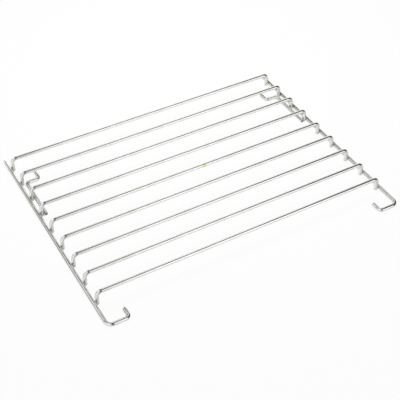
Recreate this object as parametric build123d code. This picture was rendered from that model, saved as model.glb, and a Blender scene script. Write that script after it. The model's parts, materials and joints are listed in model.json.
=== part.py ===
from build123d import *
import os

# Oven shelf support: a welded side rack of one gauge of round wire, lying on its legs.
# X runs along the runners, +Y points from the hooked ends of the uprights to their plain ends, +Z is up.

# Driving sizes in millimetres
wire_diameter = 5.0
end_chamfer = 0.4            # broken edge of every cut wire end
weld_depth = 0.4             # how far two crossing wires are pressed into each other

runner_count = 9
runner_pitch = 33.0
runner_height = 15.5         # runner axis above the upright axis
runner_bend = 4.0            # inner radius where a runner turns down into its leg
leg_overhang = 0.5           # leg end below the underside of the uprights

upright_spacing = 408.0      # between the axes of the two uprights
upright_tail = 18.5          # plain end beyond the last runner

hook_reach = 38.0            # from the first runner to the cross piece of an upper hook
hook_inset = 27.0            # from an upright to its own prong, axis to axis
hook_bend = 5.0              # inner radius of the wide bend into the cross piece
prong_bend = 2.0             # inner radius of the tight bend into a prong
prong_length = 14.0          # from the axis of the cross piece to the prong's tip

lower_hook_runner = 7        # the further of the two neighbouring runners that carry a lower hook
lower_hook_reach = 31.0      # from that runner to the cross piece of the lower hook
lower_hook_tail = 3.0        # shank end beyond the nearer runner
lower_hook_bend = 2.0        # inner radius of the lower hook's first bend

# Sizes that follow
wire_radius = wire_diameter / 2
weld_pitch = wire_diameter - weld_depth
upright_x = upright_spacing / 2
leg_x = upright_x - weld_pitch
shank_x = leg_x - weld_pitch
prong_x = upright_x - hook_inset

upright_z = leg_overhang + wire_radius
runner_z = upright_z + runner_height

runner_span = (runner_count - 1) * runner_pitch
total_length = wire_radius + hook_reach + runner_span + upright_tail
cross_y = wire_radius - total_length / 2
first_runner_y = cross_y + hook_reach
plain_end_y = total_length / 2


def runner_y(number):
    return first_runner_y + (number - 1) * runner_pitch


def bent_wire(points, inner_radii):
    # Round wire through the corner points, each corner bent to its own inner radius, cut ends broken.
    path = FilletPolyline(*points, radius=[inner + wire_radius for inner in inner_radii])
    section = Plane(origin=path @ 0, z_dir=path % 0) * Circle(wire_radius)
    wire = sweep(section, path=path)
    cut_ends = [wire.faces().sort_by_distance(path @ end)[0] for end in (0, 1)]
    return chamfer([edge for face in cut_ends for edge in face.edges()], end_chamfer)


def upright():
    # Straight wire whose top end turns in towards the middle of the rack and back along itself.
    return bent_wire(
        [
            (-upright_x, plain_end_y, upright_z),
            (-upright_x, cross_y, upright_z),
            (-prong_x, cross_y, upright_z),
            (-prong_x, cross_y + prong_length, upright_z),
        ],
        [hook_bend, prong_bend],
    )


def runner(number):
    # Bowed wire that stands on two legs, each leg dished where it is welded to an upright.
    y = runner_y(number)
    wire = bent_wire(
        [(-leg_x, y, 0), (-leg_x, y, runner_z), (leg_x, y, runner_z), (leg_x, y, 0)],
        [runner_bend, runner_bend],
    )
    dish = Rot(X=90) * Cylinder(wire_radius, 2 * wire_diameter)
    return wire - [Pos(side * upright_x, y, upright_z) * dish for side in (-1, 1)]


def lower_hook():
    # Z-shaped wire along the inner side of two legs, dished where it is welded to them.
    carriers = [runner_y(lower_hook_runner - 1), runner_y(lower_hook_runner)]
    lower_cross_y = carriers[1] + lower_hook_reach
    wire = bent_wire(
        [
            (-shank_x, carriers[0] - lower_hook_tail, upright_z),
            (-shank_x, lower_cross_y, upright_z),
            (-prong_x, lower_cross_y, upright_z),
            (-prong_x, lower_cross_y + prong_length, upright_z),
        ],
        [lower_hook_bend, prong_bend],
    )
    dish = Cylinder(wire_radius, 2 * wire_diameter)
    return wire - [Pos(-leg_x, y, upright_z) * dish for y in carriers]


parts = {
    "left_upright": upright(),
    "right_upright": mirror(upright(), about=Plane.YZ),
    "left_lower_hook": lower_hook(),
    "right_lower_hook": mirror(lower_hook(), about=Plane.YZ),
}
for number in range(1, runner_count + 1):
    parts[f"runner_{number}"] = runner(number)

os.makedirs("parts", exist_ok=True)
for node, solid in parts.items():
    export_step(solid, f"parts/{node}.step")
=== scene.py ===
import bmesh
import bpy
import json
import math
from mathutils import Matrix, Vector

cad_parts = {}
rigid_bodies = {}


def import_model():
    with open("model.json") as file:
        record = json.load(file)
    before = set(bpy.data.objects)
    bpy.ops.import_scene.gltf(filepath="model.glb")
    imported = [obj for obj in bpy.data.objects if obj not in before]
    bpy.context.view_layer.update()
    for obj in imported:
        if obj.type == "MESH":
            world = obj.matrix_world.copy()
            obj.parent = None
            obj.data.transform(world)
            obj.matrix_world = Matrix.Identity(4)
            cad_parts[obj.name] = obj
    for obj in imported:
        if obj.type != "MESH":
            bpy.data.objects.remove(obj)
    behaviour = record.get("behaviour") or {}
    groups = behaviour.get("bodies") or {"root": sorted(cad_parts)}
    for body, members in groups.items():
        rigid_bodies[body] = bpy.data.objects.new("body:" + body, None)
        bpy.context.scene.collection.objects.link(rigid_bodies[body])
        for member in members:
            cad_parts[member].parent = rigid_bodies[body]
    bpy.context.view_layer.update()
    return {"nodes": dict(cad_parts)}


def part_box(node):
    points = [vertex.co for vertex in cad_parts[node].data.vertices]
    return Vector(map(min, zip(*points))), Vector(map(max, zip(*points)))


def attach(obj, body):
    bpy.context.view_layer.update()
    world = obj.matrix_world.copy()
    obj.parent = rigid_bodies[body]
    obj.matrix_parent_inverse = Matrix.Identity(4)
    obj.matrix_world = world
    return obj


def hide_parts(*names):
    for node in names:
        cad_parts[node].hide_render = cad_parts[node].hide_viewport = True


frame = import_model()
print("frame loaded with", len(frame["nodes"]), "wires")

mm = 0.001
quarterTurn = math.pi / 2
runnerNames = sorted(name for name in frame["nodes"] if name.startswith("runner_"))

# where the wires lie, read from the frame; the left half is modelled, the right half is its mirror image
uprightLow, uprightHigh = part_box("left_upright")
hookLow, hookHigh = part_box("left_lower_hook")
runnerLow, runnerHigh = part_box(runnerNames[0])
runnerRows = [(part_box(name)[0].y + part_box(name)[1].y) / 2 for name in runnerNames]
carrierRows = [row for row in runnerRows if row > hookLow.y][:2]     # of the runners that carry a lower hook

wireRadius = (uprightHigh.z - uprightLow.z) / 2
layZ = (uprightLow.z + uprightHigh.z) / 2       # axis of everything that lies flat
uprightX = uprightLow.x + wireRadius
legX = runnerLow.x + wireRadius
shankX = hookLow.x + wireRadius
prongX = uprightHigh.x - wireRadius
runnerZ = runnerHigh.z - wireRadius
legWeldX = (uprightX + legX) / 2                # where a leg is pressed against its upright
shankWeldX = (legX + shankX) / 2                # where a lower hook is pressed against a leg


# node helpers

def addNode(tree, kind, links=None, **values):
    node = tree.nodes.new(kind)
    for key, value in values.items():
        setattr(node, key, value)
    for socket, source in (links or {}).items():
        if isinstance(source, bpy.types.NodeSocket):
            tree.links.new(source, node.inputs[socket])
        else:
            node.inputs[socket].default_value = source
    return node


def mathNode(tree, operation, *sources, clamp=False):
    node = addNode(tree, "ShaderNodeMath", dict(enumerate(sources)), operation=operation, use_clamp=clamp)
    return node.outputs[0]


def vectorNode(tree, operation, *sources):
    node = addNode(tree, "ShaderNodeVectorMath", dict(enumerate(sources)), operation=operation)
    return node.outputs["Value" if operation in ('LENGTH', 'DISTANCE') else "Vector"]


def rangeNode(tree, value, fromLow, fromHigh, toLow=0.0, toHigh=1.0):
    links = {0: value, 1: fromLow, 2: fromHigh, 3: toLow, 4: toHigh}
    return addNode(tree, "ShaderNodeMapRange", links, interpolation_type='SMOOTHSTEP').outputs[0]


def mixColor(tree, factor, first, second):
    return addNode(tree, "ShaderNodeMix", {0: factor, 6: first, 7: second}, data_type='RGBA').outputs[2]


def noiseNode(tree, **links):
    return addNode(tree, "ShaderNodeTexNoise", links).outputs["Fac"]


def newGroup(name, inputs, outputs):
    group = bpy.data.node_groups.new(name, "ShaderNodeTree")
    for label, kind, start in inputs:
        socket = group.interface.new_socket(label, in_out='INPUT', socket_type=kind)
        if start is not None:
            socket.default_value = start
    for label, kind in outputs:
        group.interface.new_socket(label, in_out='OUTPUT', socket_type=kind)
    return group, group.nodes.new("NodeGroupInput").outputs, group.nodes.new("NodeGroupOutput").inputs


def placeGroup(tree, group, links):
    return addNode(tree, "ShaderNodeGroup", links, node_tree=group).outputs


def newMaterial(name):
    material = bpy.data.materials.new(name)
    material.use_nodes = True
    tree = material.node_tree
    tree.nodes.clear()
    shader = tree.nodes.new("ShaderNodeBsdfPrincipled")
    output = tree.nodes.new("ShaderNodeOutputMaterial")
    tree.links.new(shader.outputs[0], output.inputs[0])
    return material, tree, shader


def bumpInto(tree, shader, height, strength, depth):
    bump = addNode(tree, "ShaderNodeBump", {"Height": height, "Strength": strength, "Distance": depth})
    tree.links.new(bump.outputs[0], shader.inputs["Normal"])


# shared effects

drawnGrain = {
    "lines": 9.0,                 # how finely they lie round the wire
    "drift": 30.0,                # how soon they wander along it
    "pitStretch": (2.5, 2.5, 1000.0),
    "pitFrom": 0.66,              # noise level where a pit starts
    "pitFull": 0.76,
}


def drawnLinesGroup():
    # fine lines left by the drawing die; wireGrain holds a unit circle round the wire and the length along it
    group, given, out = newGroup(
        "drawnLines",
        [
            ("Grain", "NodeSocketVector", None),
            ("Lines", "NodeSocketFloat", drawnGrain["lines"]),
            ("Drift", "NodeSocketFloat", drawnGrain["drift"]),
        ],
        [("Line", "NodeSocketFloat"), ("Pit", "NodeSocketFloat")])
    stretch = addNode(group, "ShaderNodeCombineXYZ", {
        "X": given["Lines"], "Y": given["Lines"], "Z": given["Drift"]})
    streak = vectorNode(group, 'MULTIPLY', given["Grain"], stretch.outputs[0])
    lines = noiseNode(group, Vector=streak, Scale=1.0, Detail=4.0, Roughness=0.6)
    group.links.new(lines, out["Line"])
    even = vectorNode(group, 'MULTIPLY', given["Grain"], drawnGrain["pitStretch"])
    pits = noiseNode(group, Vector=even, Scale=1.7, Detail=2.0, Roughness=0.5)
    group.links.new(rangeNode(group, pits, drawnGrain["pitFrom"], drawnGrain["pitFull"]), out["Pit"])
    return group


def weldDistanceGroup():
    # distance to the nearest of a row of welds, the same on both sides of the rack
    group, given, out = newGroup(
        "weldDistance",
        [
            ("Place", "NodeSocketVector", None),
            ("Weld X", "NodeSocketFloat", 0.2),
            ("First Y", "NodeSocketFloat", 0.0),
            ("Last Y", "NodeSocketFloat", 0.1),
            ("Half Pitch", "NodeSocketFloat", 0.02),
            ("Weld Z", "NodeSocketFloat", 0.0),
        ],
        [("Distance", "NodeSocketFloat")])
    place = addNode(group, "ShaderNodeSeparateXYZ", {0: given["Place"]}).outputs
    across = mathNode(group, 'SUBTRACT', mathNode(group, 'ABSOLUTE', place[0]), given["Weld X"])
    low = mathNode(group, 'SUBTRACT', given["First Y"], given["Half Pitch"])
    high = mathNode(group, 'ADD', given["Last Y"], given["Half Pitch"])
    kept = mathNode(group, 'MINIMUM', mathNode(group, 'MAXIMUM', place[1], low), high)
    beyond = mathNode(group, 'ABSOLUTE', mathNode(group, 'SUBTRACT', place[1], kept))
    fromFirst = mathNode(group, 'SUBTRACT', kept, given["First Y"])
    inRow = mathNode(group, 'PINGPONG', fromFirst, given["Half Pitch"])
    along = mathNode(group, 'ADD', inRow, beyond)
    above = mathNode(group, 'SUBTRACT', place[2], given["Weld Z"])
    offset = addNode(group, "ShaderNodeCombineXYZ", {0: across, 1: along, 2: above})
    group.links.new(vectorNode(group, 'LENGTH', offset.outputs[0]), out["Distance"])
    return group


dullPatches = {
    "startsAt": 0.35,             # noise level where the film starts
    "fullAt": 0.7,
}


def dullFilmGroup():
    # cloudy patches where the plating has dulled and been handled
    group, given, out = newGroup(
        "dullFilm",
        [("Place", "NodeSocketVector", None), ("Patch", "NodeSocketFloat", 60.0)],
        [("Film", "NodeSocketFloat")])
    clouds = noiseNode(group, Vector=given["Place"], Scale=given["Patch"], Detail=5.0, Roughness=0.65)
    group.links.new(rangeNode(group, clouds, dullPatches["startsAt"], dullPatches["fullAt"]), out["Film"])
    return group


drawnLines = drawnLinesGroup()
weldDistance = weldDistanceGroup()
dullFilm = dullFilmGroup()


def nearestWeld(tree, place):
    distances = []
    for weldX, rows in ((legWeldX, runnerRows), (shankWeldX, carrierRows)):
        welds = placeGroup(tree, weldDistance, {
            "Place": place, "Weld X": -weldX, "First Y": rows[0], "Last Y": rows[-1],
            "Half Pitch": (runnerRows[1] - runnerRows[0]) / 2, "Weld Z": layZ})
        distances.append(welds["Distance"])
    return mathNode(tree, 'MINIMUM', *distances)


# finishes

noiseSpan = (0.2, 0.8)            # where nearly all of a noise lies
noiseMiddle = 0.5

platedFinish = {
    "bright": (0.94, 0.94, 0.92, 1.0),
    "dulled": (0.87, 0.87, 0.83, 1.0),
    "patch": 60.0,
    "pitted": 0.5,                # share of the scorched colour in a pit
    "straw": {"color": (0.70, 0.66, 0.55, 1.0), "ends": 4.2 * mm, "full": 2.0 * mm, "share": 0.6},
    "scorched": {"color": (0.24, 0.21, 0.16, 1.0), "ends": 2.6 * mm, "full": 1.4 * mm, "share": 0.8},
    "ragged": 3 * mm,             # how unevenly the heat tint ends
    "raggedScale": 700.0,
    "stain": {"color": (0.80, 0.69, 0.27, 1.0), "reach": 2.2 * mm, "share": 0.9},
    "stainRunner": 4,             # place of the fifth runner
    "stainAt": Vector((16, -1.0, -0.8)) * mm,      # from the middle of its axis
    "smooth": 0.05,               # roughness of the bright plating
    "filmed": 0.13,
    "roughLines": 0.06,           # what lines and scorching add to it
    "roughScorch": 0.25,
    "bumpStrength": 0.12,
    "bumpDepth": 0.02 * mm,
}


def platedWireMaterial():
    material, tree, shader = newMaterial("platedWire")
    place = addNode(tree, "ShaderNodeTexCoord").outputs["Object"]
    grain = addNode(tree, "ShaderNodeAttribute", attribute_name="wireGrain").outputs["Vector"]
    lines = placeGroup(tree, drawnLines, {
        "Grain": grain, "Lines": drawnGrain["lines"], "Drift": drawnGrain["drift"]})
    film = placeGroup(tree, dullFilm, {"Place": place, "Patch": platedFinish["patch"]})["Film"]
    color = mixColor(tree, film, platedFinish["bright"], platedFinish["dulled"])

    uneven = noiseNode(tree, Vector=place, Scale=platedFinish["raggedScale"], Detail=3.0)
    uneven = mathNode(tree, 'SUBTRACT', uneven, noiseMiddle)
    uneven = mathNode(tree, 'MULTIPLY', uneven, platedFinish["ragged"])
    distance = mathNode(tree, 'ADD', nearestWeld(tree, place), uneven)
    heated = {}
    for name in ("straw", "scorched"):
        tint = platedFinish[name]
        heated[name] = rangeNode(tree, distance, tint["ends"], tint["full"], 0.0, tint["share"])
        color = mixColor(tree, heated[name], color, tint["color"])
    pitted = mathNode(tree, 'MULTIPLY', lines["Pit"], platedFinish["pitted"])
    color = mixColor(tree, pitted, color, platedFinish["scorched"]["color"])

    stain = platedFinish["stain"]
    spot = Vector((0, runnerRows[platedFinish["stainRunner"]], runnerZ)) + platedFinish["stainAt"]
    fromSpot = vectorNode(tree, 'DISTANCE', place, spot)
    stained = rangeNode(tree, fromSpot, wireRadius + stain["reach"], wireRadius, 0.0, stain["share"])
    color = mixColor(tree, stained, color, stain["color"])
    tree.links.new(color, shader.inputs["Base Color"])

    rough = rangeNode(tree, film, 0.0, 1.0, platedFinish["smooth"], platedFinish["filmed"])
    lined = mathNode(tree, 'MULTIPLY', lines["Line"], platedFinish["roughLines"])
    burnt = mathNode(tree, 'MULTIPLY', heated["scorched"], platedFinish["roughScorch"])
    rough = mathNode(tree, 'ADD', mathNode(tree, 'ADD', rough, lined), burnt, clamp=True)
    tree.links.new(rough, shader.inputs["Roughness"])
    relief = mathNode(tree, 'SUBTRACT', lines["Line"], lines["Pit"])
    bumpInto(tree, shader, relief, platedFinish["bumpStrength"], platedFinish["bumpDepth"])
    shader.inputs["Metallic"].default_value = 1.0
    return material


weldFinish = {
    "metal": (0.74, 0.73, 0.67, 1.0),
    "scale": (0.30, 0.25, 0.17, 1.0),
    "patch": 420.0,
    "lumpScale": 1500.0,
    "roughness": (0.22, 0.5),
    "bumpStrength": 0.35,
    "bumpDepth": 0.1 * mm,
}


def weldMetalMaterial():
    material, tree, shader = newMaterial("weldMetal")
    place = addNode(tree, "ShaderNodeTexCoord").outputs["Object"]
    film = placeGroup(tree, dullFilm, {"Place": place, "Patch": weldFinish["patch"]})["Film"]
    lumps = noiseNode(tree, Vector=place, Scale=weldFinish["lumpScale"], Detail=4.0)
    color = mixColor(tree, film, weldFinish["metal"], weldFinish["scale"])
    tree.links.new(color, shader.inputs["Base Color"])
    tree.links.new(rangeNode(tree, lumps, *noiseSpan, *weldFinish["roughness"]), shader.inputs["Roughness"])
    bumpInto(tree, shader, lumps, weldFinish["bumpStrength"], weldFinish["bumpDepth"])
    shader.inputs["Metallic"].default_value = 1.0
    return material


cutFinish = {
    "sheared": (0.42, 0.41, 0.38, 1.0),
    "rusted": (0.19, 0.16, 0.12, 1.0),
    "patch": 500.0,
    "tearStretch": (4000.0, 4000.0, 400.0),
    "roughness": (0.35, 0.6),
    "bumpStrength": 0.4,
    "bumpDepth": 0.06 * mm,
}


def cutSteelMaterial():
    material, tree, shader = newMaterial("cutSteel")
    place = addNode(tree, "ShaderNodeTexCoord").outputs["Object"]
    film = placeGroup(tree, dullFilm, {"Place": place, "Patch": cutFinish["patch"]})["Film"]
    drag = addNode(tree, "ShaderNodeMapping", {"Vector": place, "Scale": cutFinish["tearStretch"]}).outputs[0]
    tears = noiseNode(tree, Vector=drag, Scale=1.0, Detail=3.0)
    color = mixColor(tree, film, cutFinish["sheared"], cutFinish["rusted"])
    tree.links.new(color, shader.inputs["Base Color"])
    tree.links.new(rangeNode(tree, tears, *noiseSpan, *cutFinish["roughness"]), shader.inputs["Roughness"])
    bumpInto(tree, shader, tears, cutFinish["bumpStrength"], cutFinish["bumpDepth"])
    shader.inputs["Metallic"].default_value = 1.0
    return material


platedWire = platedWireMaterial()
cutSteel = cutSteelMaterial()
weldMetal = weldMetalMaterial()
print("finishes made")


# wires

wireForm = {
    "sides": 48,
    "bendSteps": 16,              # in a quarter turn
    "cutRound": 0.4 * mm,         # broken edge of a cut end
    "cutRoundSteps": 3,
    "shearRim": 0.45 * mm,
    "shearDip": 0.12 * mm,
    "seatLength": 6 * wireRadius,      # of the wire that dishes a weld, well past both its sides
    "mergeWithin": 0.001 * mm,
    "smoothUpTo": math.radians(35),
    "ownStretch": 0.5,            # sets the drawing lines of one copy apart from the next
}


def pickOnly(piece):
    bpy.ops.object.select_all(action='DESELECT')
    piece.select_set(True)
    bpy.context.view_layer.objects.active = piece


def wireSpans(route, insideRadii):
    # the straight stretches of a wire and the quarter turns between them, which have a centre
    spans = []
    reached = route[0]
    heading = (route[1] - route[0]).normalized()
    for corner, following, inside in zip(route[1:], route[2:], insideRadii):
        leaving = (following - corner).normalized()
        bendRadius = inside + wireRadius
        bendStart = corner - heading * bendRadius
        spans.append({"start": reached, "end": bendStart, "heading": heading, "centre": None})
        reached = corner + leaving * bendRadius
        spans.append({
            "start": bendStart, "end": reached, "heading": heading,
            "centre": bendStart + leaving * bendRadius, "radius": bendRadius, "axis": heading.cross(leaving)})
        heading = leaving
    spans.append({"start": reached, "end": route[-1], "heading": heading, "centre": None})
    return spans


def bentWire(name, corners, insideRadii):
    spans = wireSpans([Vector(corner) for corner in corners], insideRadii)
    bpy.ops.object.select_all(action='DESELECT')
    bpy.ops.mesh.primitive_circle_add(
        vertices=wireForm["sides"], radius=wireRadius, fill_type='NGON', location=spans[0]["start"],
        rotation=spans[0]["heading"].to_track_quat('Z', 'Y').to_euler())
    piece = bpy.context.object
    piece.name = piece.data.name = name
    for finish in (platedWire, cutSteel, weldMetal):
        piece.data.materials.append(finish)
    bpy.ops.object.transform_apply(location=True, rotation=True, scale=True)
    bpy.ops.object.mode_set(mode='EDIT')
    bpy.ops.mesh.select_mode(type='FACE')
    bpy.ops.mesh.select_all(action='SELECT')
    for span in spans:
        if span["centre"] is None:
            bpy.ops.mesh.extrude_region_move(TRANSFORM_OT_translate={"value": span["end"] - span["start"]})
        else:
            bpy.ops.mesh.spin(
                steps=wireForm["bendSteps"], angle=-quarterTurn, center=span["centre"], axis=span["axis"])
    shearEnds(piece)
    bpy.ops.object.mode_set(mode='OBJECT')
    layGrain(piece, spans)
    return piece


def shearEnds(piece):
    bpy.ops.mesh.select_all(action='DESELECT')
    bpy.ops.mesh.select_face_by_sides(number=4, type='GREATER')      # the two cut faces
    bpy.ops.mesh.region_to_loop()
    bpy.ops.mesh.bevel(offset=wireForm["cutRound"], segments=wireForm["cutRoundSteps"], affect='EDGES')
    bpy.ops.mesh.select_all(action='DESELECT')
    bpy.ops.mesh.select_mode(type='FACE')
    bpy.ops.mesh.select_face_by_sides(number=4, type='GREATER')
    piece.active_material_index = piece.data.materials.find(cutSteel.name)
    bpy.ops.object.material_slot_assign()
    bpy.ops.mesh.inset(thickness=wireForm["shearRim"], depth=-wireForm["shearDip"])
    bpy.ops.mesh.select_all(action='SELECT')
    bpy.ops.mesh.normals_make_consistent(inside=False)


def layGrain(piece, spans):
    # wireGrain on each point: a unit circle round the wire and the length along it
    flat = spans[1]["axis"]                                          # every bend lies in the same plane
    grain = piece.data.attributes.new("wireGrain", 'FLOAT_VECTOR', 'POINT')
    for vertex in piece.data.vertices:
        nearest = None
        run = 0.0
        for span in spans:
            heading = span["heading"]
            if span["centre"] is None:
                length = (span["end"] - span["start"]).length
                along = min(max((vertex.co - span["start"]).dot(heading), 0.0), length)
                axisPoint = span["start"] + heading * along
                direction = heading
            else:
                length = span["radius"] * quarterTurn
                outward = (span["start"] - span["centre"]).normalized()
                spoke = vertex.co - span["centre"]
                turn = min(max(math.atan2(spoke.dot(heading), spoke.dot(outward)), 0.0), quarterTurn)
                along = span["radius"] * turn
                direction = heading * math.cos(turn) - outward * math.sin(turn)
                leaning = outward * math.cos(turn) + heading * math.sin(turn)
                axisPoint = span["centre"] + leaning * span["radius"]
            offset = vertex.co - axisPoint
            if nearest is None or offset.length < nearest:
                nearest = offset.length
                around = offset / wireRadius
                place = (around.dot(flat), around.dot(direction.cross(flat)), run + along)
            run += length
        grain.data[vertex.index].vector = place


weldSqueeze = {
    "reach": 2.35 * mm,           # round the contact
    "thickness": 1.2 * mm,        # either side of it
    "ragged": 0.22 * mm,
    "segments": 14,
    "rings": 9,
    "rounding": 2,
}


def squeezedWeld(centre, seed):
    # metal pressed out round a resistance weld
    bpy.ops.object.select_all(action='DESELECT')
    bpy.ops.mesh.primitive_uv_sphere_add(
        segments=weldSqueeze["segments"], ring_count=weldSqueeze["rings"], radius=weldSqueeze["reach"],
        location=centre, rotation=(0, quarterTurn, 0),
        scale=(1, 1, weldSqueeze["thickness"] / weldSqueeze["reach"]))
    bead = bpy.context.object
    bead.data.materials.append(weldMetal)
    bpy.ops.object.transform_apply(location=True, rotation=True, scale=True)
    bpy.ops.object.mode_set(mode='EDIT')
    bpy.ops.mesh.select_all(action='SELECT')
    bpy.ops.transform.vertex_random(offset=weldSqueeze["ragged"], seed=seed)
    bpy.ops.object.mode_set(mode='OBJECT')
    rounded = bead.modifiers.new("rounded", 'SUBSURF')
    rounded.levels = rounded.render_levels = weldSqueeze["rounding"]
    bpy.ops.object.modifier_apply(modifier=rounded.name)
    return bead


def seatOnto(centre, rotation):
    # the round side of the wire that a welded wire is pressed into
    bpy.ops.object.select_all(action='DESELECT')
    bpy.ops.mesh.primitive_cylinder_add(
        vertices=2 * wireForm["sides"], radius=wireRadius, depth=wireForm["seatLength"],
        location=centre, rotation=rotation)
    seat = bpy.context.object
    seat.data.materials.append(weldMetal)
    bpy.ops.object.transform_apply(location=True, rotation=True, scale=True)
    return seat


def joinSolid(piece, other, operation):
    pickOnly(piece)
    joined = piece.modifiers.new("joined", 'BOOLEAN')
    joined.operation = operation
    joined.solver = 'EXACT'
    joined.material_mode = 'TRANSFER'
    joined.object = other
    bpy.ops.object.modifier_apply(modifier=joined.name)
    bpy.data.objects.remove(other)


def faceOutward(piece):
    # a long bent wire can come out of the recalculation inside out, and its volume is then negative
    solid = bmesh.new()
    solid.from_mesh(piece.data)
    insideOut = solid.calc_volume(signed=True) < 0
    solid.free()
    if insideOut:
        bpy.ops.object.mode_set(mode='EDIT')
        bpy.ops.mesh.select_all(action='SELECT')
        bpy.ops.mesh.flip_normals()
        bpy.ops.object.mode_set(mode='OBJECT')


def cleanWire(piece):
    pickOnly(piece)
    bpy.ops.object.mode_set(mode='EDIT')
    bpy.ops.mesh.select_all(action='SELECT')
    bpy.ops.mesh.remove_doubles(threshold=wireForm["mergeWithin"])
    bpy.ops.mesh.normals_make_consistent(inside=False)
    bpy.ops.object.mode_set(mode='OBJECT')
    faceOutward(piece)
    bpy.ops.object.shade_smooth_by_angle(angle=wireForm["smoothUpTo"])


def copyWire(piece, name, shift=(0, 0, 0), mirrored=False):
    pickOnly(piece)
    bpy.ops.object.duplicate()
    twin = bpy.context.object
    twin.name = twin.data.name = name
    twin.location = shift
    twin.scale.x = -1 if mirrored else 1
    bpy.ops.object.transform_apply(location=True, rotation=True, scale=True)
    stretch = Vector((0, 0, wireForm["ownStretch"] * len(bpy.data.objects)))
    for point in twin.data.attributes["wireGrain"].data:
        point.vector = point.vector + stretch
    cleanWire(twin)
    return twin


uprightShape = {
    "hookBend": 5.0 * mm,         # inside radii
    "prongBend": 2.0 * mm,
    "prongLength": 14.0 * mm,
}


def uprightWire():
    crossY = uprightLow.y + wireRadius
    piece = bentWire("leftUprightWire", [
        (uprightX, uprightHigh.y, layZ),
        (uprightX, crossY, layZ),
        (prongX, crossY, layZ),
        (prongX, crossY + uprightShape["prongLength"], layZ),
    ], [uprightShape["hookBend"], uprightShape["prongBend"]])
    cleanWire(piece)
    return piece


runnerShape = {
    "legBend": 4.0 * mm,
    "weldSeeds": (3, 8),          # left and right
}


def runnerWire():
    row = runnerRows[0]
    piece = bentWire("runnerWire1", [
        (legX, row, runnerLow.z),
        (legX, row, runnerZ),
        (-legX, row, runnerZ),
        (-legX, row, runnerLow.z),
    ], [runnerShape["legBend"], runnerShape["legBend"]])
    for side, seed in zip((1, -1), runnerShape["weldSeeds"]):
        joinSolid(piece, squeezedWeld((side * legWeldX, row, layZ), seed), 'UNION')
        joinSolid(piece, seatOnto((side * uprightX, row, layZ), (quarterTurn, 0, 0)), 'DIFFERENCE')
    cleanWire(piece)
    return piece


lowerHookShape = {
    "shankBend": 2.0 * mm,
    "prongBend": 2.0 * mm,
    "prongLength": 14.0 * mm,
    "weldSeeds": (25, 26),
}


def lowerHookWire():
    crossY = hookHigh.y - lowerHookShape["prongLength"]
    piece = bentWire("leftLowerHookWire", [
        (shankX, hookLow.y, layZ),
        (shankX, crossY, layZ),
        (prongX, crossY, layZ),
        (prongX, hookHigh.y, layZ),
    ], [lowerHookShape["shankBend"], lowerHookShape["prongBend"]])
    for row, seed in zip(carrierRows, lowerHookShape["weldSeeds"]):
        joinSolid(piece, squeezedWeld((shankWeldX, row, layZ), seed), 'UNION')
        joinSolid(piece, seatOnto((legX, row, layZ), (0, 0, 0)), 'DIFFERENCE')
    cleanWire(piece)
    return piece


leftUpright = uprightWire()
leftHook = lowerHookWire()
firstRunner = runnerWire()
standsFor = {
    "left_upright": leftUpright,
    "right_upright": copyWire(leftUpright, "rightUprightWire", mirrored=True),
    "left_lower_hook": leftHook,
    "right_lower_hook": copyWire(leftHook, "rightLowerHookWire", mirrored=True),
    runnerNames[0]: firstRunner,
}
for number, (node, row) in enumerate(zip(runnerNames[1:], runnerRows[1:]), start=2):
    standsFor[node] = copyWire(firstRunner, f"runnerWire{number}", shift=(0, row - runnerRows[0], 0))
for node, piece in standsFor.items():
    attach(piece, "root")
    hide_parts(node)
print("wires bent, cut and welded:", len(standsFor))


# floor, light and camera

floorFinish = {
    "size": 8.0,
    "color": (0.93, 0.93, 0.93, 1.0),
    "whiteShare": 0.95,           # how much of what the camera sees is plain white, the rest keeps the shadow
    "mirroredShare": 0.45,        # the same for what the wire mirrors
    "glossIor": 3.2,
    "glossRoughness": 0.15,
}


def paleFloor():
    bpy.ops.object.select_all(action='DESELECT')
    bpy.ops.mesh.primitive_plane_add(size=floorFinish["size"])
    floor = bpy.context.object
    floor.name = "paleFloor"
    material = bpy.data.materials.new("paleFloor")
    material.use_nodes = True
    tree = material.node_tree
    tree.nodes.clear()
    matt = addNode(tree, "ShaderNodeBsdfDiffuse", {"Color": floorFinish["color"]})
    white = addNode(tree, "ShaderNodeEmission", {"Color": (1, 1, 1, 1), "Strength": 1.0})
    ray = addNode(tree, "ShaderNodeLightPath").outputs
    mirrored = mathNode(tree, 'MAXIMUM', ray["Is Glossy Ray"], ray["Is Transmission Ray"])
    seenWhite = mathNode(tree, 'MULTIPLY', ray["Is Camera Ray"], floorFinish["whiteShare"])
    mirroredWhite = mathNode(tree, 'MULTIPLY', mirrored, floorFinish["mirroredShare"])
    share = mathNode(tree, 'MAXIMUM', seenWhite, mirroredWhite)
    mixed = addNode(tree, "ShaderNodeMixShader", {0: share, 1: matt.outputs[0], 2: white.outputs[0]})
    gloss = addNode(tree, "ShaderNodeBsdfGlossy", {"Roughness": floorFinish["glossRoughness"]})
    glancing = addNode(tree, "ShaderNodeFresnel", {"IOR": floorFinish["glossIor"]}).outputs[0]
    sheen = mathNode(tree, 'MULTIPLY', glancing, mirrored)      # the camera itself sees a matt floor
    mixed = addNode(tree, "ShaderNodeMixShader", {0: sheen, 1: mixed.outputs[0], 2: gloss.outputs[0]})
    output = tree.nodes.new("ShaderNodeOutputMaterial")
    tree.links.new(mixed.outputs[0], output.inputs[0])
    floor.data.materials.append(material)


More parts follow.
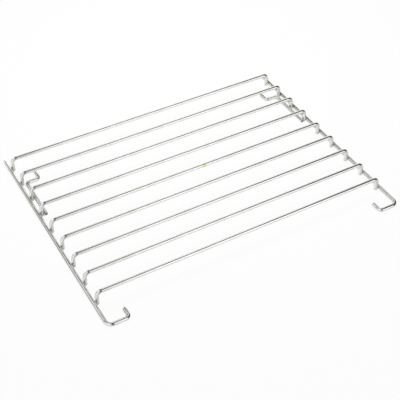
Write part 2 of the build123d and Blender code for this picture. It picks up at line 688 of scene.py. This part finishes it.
# soft white panels round the table in a dim room, in degrees: turn from +Y towards +X, and height
studioPanels = {
    "room": 0.06,
    "ambient": 0.5,               # share of a panel that lights matt things
    "panels": {
        "left": {"turn": (-156, -59), "turnSoft": 23, "height": (-90, 82), "heightSoft": 3, "level": 0.92},
        "leftBack": {"turn": (-50, -15), "turnSoft": 3, "height": (24, 50), "heightSoft": 3, "level": 1.05},
        "lowBack": {"turn": (-31, 57), "turnSoft": 21, "height": (-90, 24), "heightSoft": 3, "level": 1.06},
        "back": {"turn": (9, 35), "turnSoft": 3, "height": (-90, 25), "heightSoft": 10, "level": 1.45},
        "highBack": {"turn": (18, 56), "turnSoft": 14, "height": (42, 70), "heightSoft": 12, "level": 1.4},
        "rightFront": {"turn": (140, 169), "turnSoft": 8, "height": (-90, 54), "heightSoft": 3, "level": 1.2},
    },
}


def skyDirection(turn, height):
    turn, height = math.radians(turn), math.radians(height)
    return Vector((math.sin(turn) * math.cos(height), math.cos(turn) * math.cos(height), math.sin(height)))


def softStretch(tree, angle, ends, soft):
    start = rangeNode(tree, angle, math.radians(ends[0] - soft), math.radians(ends[0] + soft))
    stop = rangeNode(tree, angle, math.radians(ends[1] + soft), math.radians(ends[1] - soft))
    return mathNode(tree, 'MULTIPLY', start, stop)


def studioWorld():
    world = bpy.data.worlds.new("studioPanels")
    world.use_nodes = True
    bpy.context.scene.world = world
    tree = world.node_tree
    tree.nodes.clear()
    toward = addNode(tree, "ShaderNodeTexCoord").outputs["Generated"]
    part = addNode(tree, "ShaderNodeSeparateXYZ", {0: toward}).outputs
    turn = mathNode(tree, 'ARCTAN2', part[0], part[1])
    height = mathNode(tree, 'ARCSINE', part[2])
    light = studioPanels["room"]
    for panel in studioPanels["panels"].values():
        across = softStretch(tree, turn, panel["turn"], panel["turnSoft"])
        upward = softStretch(tree, height, panel["height"], panel["heightSoft"])
        glow = mathNode(tree, 'MULTIPLY', mathNode(tree, 'MULTIPLY', across, upward), panel["level"])
        light = mathNode(tree, 'MAXIMUM', light, glow)
    ray = addNode(tree, "ShaderNodeLightPath").outputs
    mirrored = mathNode(tree, 'MAXIMUM', ray["Is Glossy Ray"], ray["Is Transmission Ray"])
    level = rangeNode(tree, mirrored, 0.0, 1.0, studioPanels["ambient"], 1.0)
    strength = mathNode(tree, 'MULTIPLY', light, level)
    strength = mathNode(tree, 'MAXIMUM', strength, ray["Is Camera Ray"])        # seen directly, it is white
    background = addNode(tree, "ShaderNodeBackground", {"Color": (1, 1, 1, 1), "Strength": strength})
    output = tree.nodes.new("ShaderNodeOutputWorld")
    tree.links.new(background.outputs[0], output.inputs[0])


topLamp = {
    "turn": 19,                   # degrees, over the back of the rack
    "height": 66,
    "away": 0.8,
    "size": 0.5,
    "power": 5.3,
}


def softLamp():
    data = bpy.data.lights.new("topLamp", 'AREA')
    data.shape = 'DISK'
    data.size = topLamp["size"]
    data.energy = topLamp["power"]
    lamp = bpy.data.objects.new("topLamp", data)
    lamp.location = skyDirection(topLamp["turn"], topLamp["height"]) * topLamp["away"]
    lamp.rotation_euler = (-lamp.location).to_track_quat('-Z', 'Y').to_euler()
    lamp.visible_glossy = False   # the panels alone show in the wire
    bpy.context.scene.collection.objects.link(lamp)


photoCamera = {
    "place": (-429.76 * mm, -746.57 * mm, 779.77 * mm),
    "turn": 30.204,               # degrees, from +Y towards +X
    "down": 43.161,
    "roll": 0.777,
    "focal": 885.8,               # in pixels of a frame 400 wide
    "frameWidth": 400,
    "sensorWidth": 36.0,
}


def placeCamera():
    data = bpy.data.cameras.new("photoCamera")
    data.sensor_width = photoCamera["sensorWidth"]
    data.lens = photoCamera["focal"] / photoCamera["frameWidth"] * data.sensor_width
    camera = bpy.data.objects.new("photoCamera", data)
    bpy.context.scene.collection.objects.link(camera)
    camera.matrix_world = (
        Matrix.Translation(photoCamera["place"])
        @ Matrix.Rotation(-math.radians(photoCamera["turn"]), 4, 'Z')
        @ Matrix.Rotation(math.radians(90 - photoCamera["down"]), 4, 'X')
        @ Matrix.Rotation(math.radians(photoCamera["roll"]), 4, 'Z'))
    bpy.context.scene.camera = camera


paleFloor()
studioWorld()
softLamp()
placeCamera()
bpy.context.scene.view_settings.view_transform = 'Standard'
print("floor, light and camera placed")

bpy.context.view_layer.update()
triangles = sum(len(face.vertices) - 2 for piece in standsFor.values() for face in piece.data.polygons)
print("triangles:", triangles)
